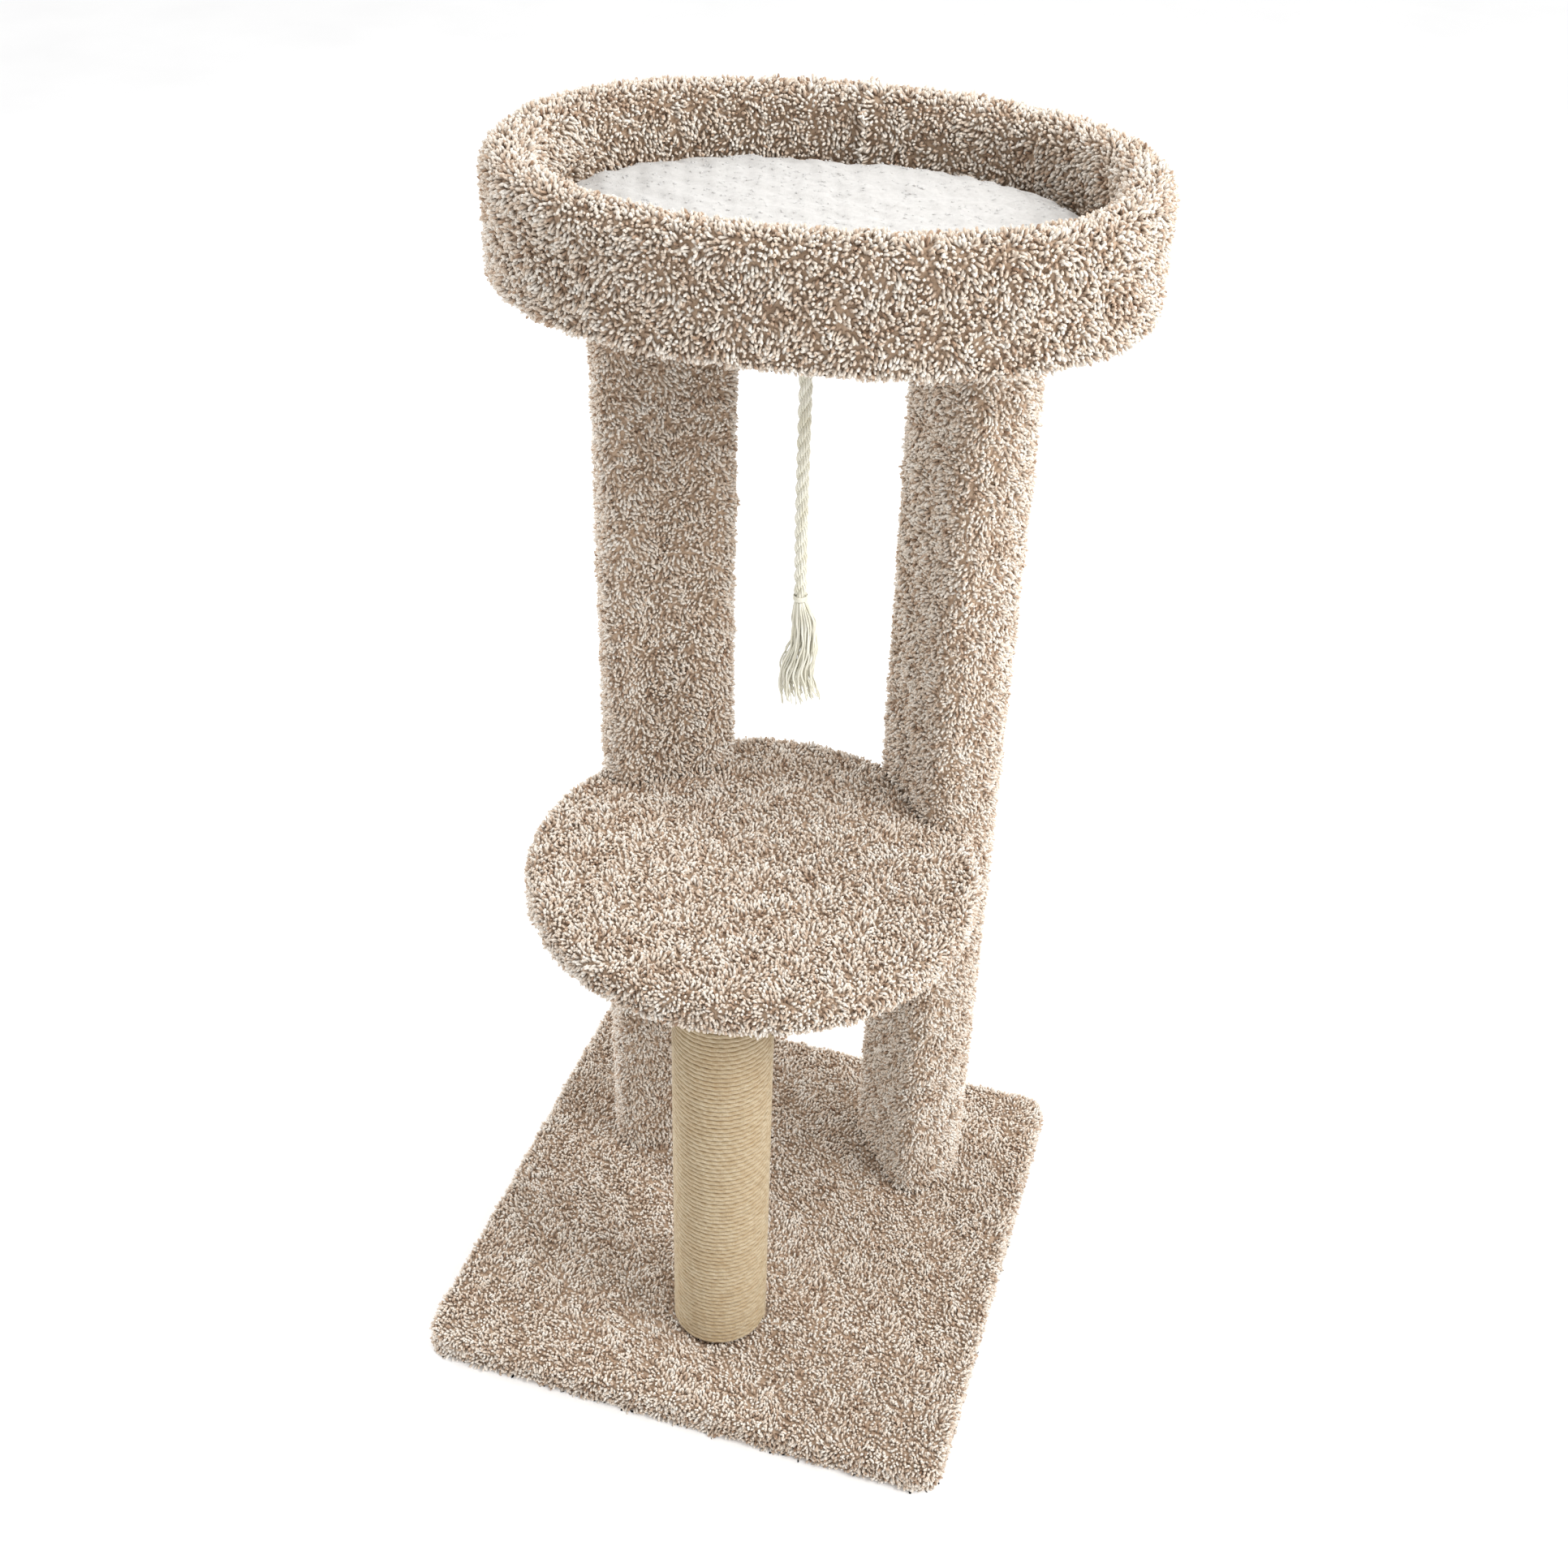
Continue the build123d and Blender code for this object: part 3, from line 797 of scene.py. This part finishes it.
def make_winding(jute):
    """One long twine wound round the scratching post, with its plies showing."""
    low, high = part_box("scratching_post_rope")
    share = np.linspace(0, 1, WINDING_TURNS * WINDING_STEPS + 1)
    turn = share * WINDING_TURNS * 2 * pi
    radius = POST_RADIUS - TWINE_RADIUS
    slack = SLACK * np.sin(turn * SLACK_RATES[0]) * np.sin(turn * SLACK_RATES[1] + 1)
    line = np.stack(
        [
            POST_CENTRE[0] + (radius + slack) * np.cos(turn),
            POST_CENTRE[1] + (radius + slack) * np.sin(turn),
            low.z + TWINE_RADIUS + share * (high.z - low.z - 2 * TWINE_RADIUS) + waves(turn, DRIFT_WAVES),
        ],
        axis=1,
    )
    length = share * WINDING_TURNS * 2 * pi * radius
    twist = length * 2 * pi / PLY_LENGTH + waves(length, WANDER_WAVES)
    around = np.arange(TWINE_SIDES) * 2 * pi / TWINE_SIDES
    ply = np.cos(2 * (around[None] - twist[:, None]))
    # Painted shade on the twine: light on its outside, dark in the groove to the next turn, and a little
    # darker between its plies
    painted_twine_shade = np.clip(GROOVE_LIGHT[0] + GROOVE_LIGHT[1] * np.cos(around), 0, 1) + PLY_SHADE * ply
    slubs = 1 + SLUB_SHARE * np.sin(length * SLUB_RATES[0] + SLUB_SWAY * np.sin(length * SLUB_RATES[1]))
    radii = TWINE_RADIUS * slubs[:, None] * (1 + PLY_DEPTH * ply)
    points, quads = tubes(line[None], radii[None], TWINE_SIDES, (0, 0, 1))
    mesh = quad_mesh("winding", points, quads, {"along": np.clip(painted_twine_shade, 0, 1)})
    add_piece("scratching_post_winding", mesh, jute, "frame", ("scratching_post_rope",))


def make_fibres(jute):
    """Loose fibres that stand off the winding."""
    rng = np.random.default_rng(FIBRE_SEED)
    low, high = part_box("scratching_post_rope")
    start = rng.uniform(0, 2 * pi, FIBRES)
    height = rng.uniform(low.z + FIBRE_END_GAP, high.z - FIBRE_END_GAP, FIBRES)
    reach = rng.uniform(*FIBRE_REACH, FIBRES)
    stand = rng.uniform(*FIBRE_STAND, FIBRES)
    climb = rng.normal(0, FIBRE_CLIMB, FIBRES)
    rings = np.linspace(0, 1, FIBRE_RINGS)
    angle = start[:, None] + rings * reach[:, None] / POST_RADIUS * rng.choice((-1, 1), FIBRES)[:, None]
    distance = POST_RADIUS - FIBRE_DEPTH + stand[:, None] * np.sin(rings * FIBRE_ARCH)
    hairs = np.stack(
        [
            POST_CENTRE[0] + distance * np.cos(angle),
            POST_CENTRE[1] + distance * np.sin(angle),
            height[:, None] + climb[:, None] * rings**2,
        ],
        axis=2,
    )
    radii = FIBRE_RADIUS * ends_drawn_in(FIBRE_RINGS, 0.4)[:, None]
    points, quads = tubes(hairs, radii, 3, (0, 0, 1))
    # The fibres take the light, outer end of the twine's painted shade
    mesh = quad_mesh("winding_fibres", points, quads, {"along": np.full(len(points), FIBRE_LIGHT)})
    add_piece("scratching_post_fibres", mesh, jute, "frame")


def shrunk(source, shrink):
    """A copy of a CAD mesh, shrunk about its middle and remeshed evenly."""
    piece = bpy.data.objects.new("swelling", source.data.copy())
    bpy.context.scene.collection.objects.link(piece)
    middle = sum(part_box(source.name), Vector()) / 2
    piece.data.transform(
        Matrix.Translation(middle) @ Matrix.Diagonal((*shrink, 1)) @ Matrix.Translation(-middle)
    )
    remesh = piece.modifiers.new("remesh", "REMESH")
    remesh.mode = "VOXEL"
    remesh.voxel_size = PAD_VOXEL
    bpy.context.view_layer.update()
    graph = bpy.context.evaluated_depsgraph_get()
    mesh = bpy.data.meshes.new_from_object(piece.evaluated_get(graph))
    piece.modifiers.clear()
    piece.data = mesh
    return piece


def blow_up(piece):
    """Swells a piece by cloth simulation, with each point's move capped."""
    mesh = piece.data
    before = np.array([v.co for v in mesh.vertices], float)
    cloth = piece.modifiers.new("cloth", "CLOTH")
    cloth.settings.use_pressure = True
    cloth.settings.uniform_pressure_force = PAD_PRESSURE
    cloth.settings.effector_weights.gravity = 0
    scene = bpy.context.scene
    for step in range(1, CLOTH_STEPS + 1):
        scene.frame_set(step)
    graph = bpy.context.evaluated_depsgraph_get()
    blown = bpy.data.meshes.new_from_object(piece.evaluated_get(graph))
    after = np.array([v.co for v in blown.vertices], float)
    piece.modifiers.clear()
    scene.frame_set(1)
    move = after - before
    far = np.maximum(np.linalg.norm(move, axis=1, keepdims=True), 1e-9)
    capped = before + move * np.minimum(1, PAD_RISE / far)
    mesh.vertices.foreach_set("co", capped.astype(np.float32).ravel())
    mesh.update()


def subdivided(piece):
    """The piece's mesh, subdivided once. The piece itself is removed."""
    subdivide = piece.modifiers.new("subdivide", "SUBSURF")
    subdivide.levels = 1
    graph = bpy.context.evaluated_depsgraph_get()
    mesh = bpy.data.meshes.new_from_object(piece.evaluated_get(graph))
    bpy.data.objects.remove(piece)
    return mesh


def make_pad(fleece):
    """A loose sherpa pad: a soft swollen body with curls of fleece all over."""
    rng = np.random.default_rng(FLEECE_SEED)
    piece = shrunk(nodes["bed_pad"], PAD_SHRINK)
    blow_up(piece)
    mesh = subdivided(piece)
    mesh.shade_smooth()
    flat = np.array([v.co for v in mesh.vertices], float)
    facing = np.array([v.normal for v in mesh.vertices], float)
    lumpy = flat + facing * FLEECE_LUMPS * ripples(flat, rng, *LUMP_WAVES)
    mesh.vertices.foreach_set("co", lumpy.astype(np.float32).ravel())
    mesh.update()
    points, normals = scatter(mesh, FLEECE_SPACING, rng)
    curls, quads, _ = yarn_ends(
        points - normals * CURL_DEPTH, normals, rng, CURL_LENGTH, CURL_RADIUS, CURL_LEAN, CURL_BEND
    )
    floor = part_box("bed_pad")[0].z
    curls[:, 2] = np.maximum(curls[:, 2], floor)
    body = add_piece("bed_pad_cushion", mesh, fleece, "pad", ("bed_pad",))
    curl_mesh = quad_mesh("bed_pad_curls", curls, quads, {})
    add_piece("bed_pad_curls", curl_mesh, fleece, "pad", ("bed_pad",))


def make_hardware_looks():
    """Procedural materials for the CAD nodes that stay."""
    timber = wood_material("timber", srgb(224, 194, 148), srgb(196, 158, 108), (1, 1, 0.06), 70.0)
    board = wood_material("board", srgb(206, 176, 134), srgb(180, 146, 104), (0.2, 1, 1), 90.0)
    tube = cardboard_material()
    steel = metal_material("steel", srgb(196, 196, 200), srgb(150, 150, 154))
    zinc = metal_material("zinc", srgb(206, 208, 214), srgb(160, 164, 172))
    looks = {
        "post_core": timber,
        "plug": timber,
        "board": board,
        "band": board,
        "tube": tube,
        "screws": zinc,
        "staples": steel,
        "eye": zinc,
        "ring": zinc,
    }
    for name, piece in nodes.items():
        for word, material in looks.items():
            if word in name:
                piece.data.materials.clear()
                piece.data.materials.append(material)


def add_light(name, place, target, size, power, colour):
    lamp = bpy.data.lights.new(name, "AREA")
    lamp.size = size
    lamp.energy = power
    lamp.color = colour
    made = bpy.data.objects.new(name, lamp)
    bpy.context.scene.collection.objects.link(made)
    made.location = place
    made.rotation_mode = "QUATERNION"
    made.rotation_quaternion = (Vector(target) - Vector(place)).to_track_quat("-Z", "Y")


def make_stage():
    """A pale floor and soft studio light, with the key light from the right."""
    corners = FLOOR_REACH * np.array([(-1, -1, 0), (1, -1, 0), (1, 1, 0), (-1, 1, 0)], float)
    corners[:, 2] = cad_low.z - FLOOR_DROP
    mesh = quad_mesh("floor", corners, np.array([[0, 1, 2, 3]]), {})
    floor = bpy.data.objects.new("floor", mesh)
    bpy.context.scene.collection.objects.link(floor)
    pale, tree, shader = new_material("floor")
    shade = ramp(tree, noise(tree, 3.0), ((0.3, srgb(246, 246, 246)), (0.7, srgb(250, 250, 250))))
    rough = ranged(tree, noise(tree, 6.0), 0.8, 0.9)
    finish_surface(tree, shader, shade, rough, noise(tree, 40.0), bump=0.0001)
    mesh.materials.append(pale)
    world = bpy.data.worlds.new("studio")
    bpy.context.scene.world = world
    world.use_nodes = True
    sky = world.node_tree.nodes["Background"]
    sky.inputs["Color"].default_value = (1.0, 1.0, 1.0, 1.0)
    sky.inputs["Strength"].default_value = 1.0
    for lamp in LIGHTS:
        add_light(*lamp)
    bpy.context.scene.view_settings.view_transform = "Standard"


make_camera()
make_toy(cotton_material())
carpet_tree = solid_tree(
    [name for name in nodes if not name.startswith("toy") and name != "bed_pad"]
)
pile_look = pile_material()
foot_look = backing_material()
for number, carpet in enumerate(CARPET_NODES):
    ends = tufted(carpet, carpet_tree, pile_look, foot_look, CARPET_SEED + number)
    print("yarn ends", carpet, ends)
jute_look = jute_material()
make_winding(jute_look)
make_fibres(jute_look)
make_pad(fleece_material())
make_hardware_looks()
make_stage()
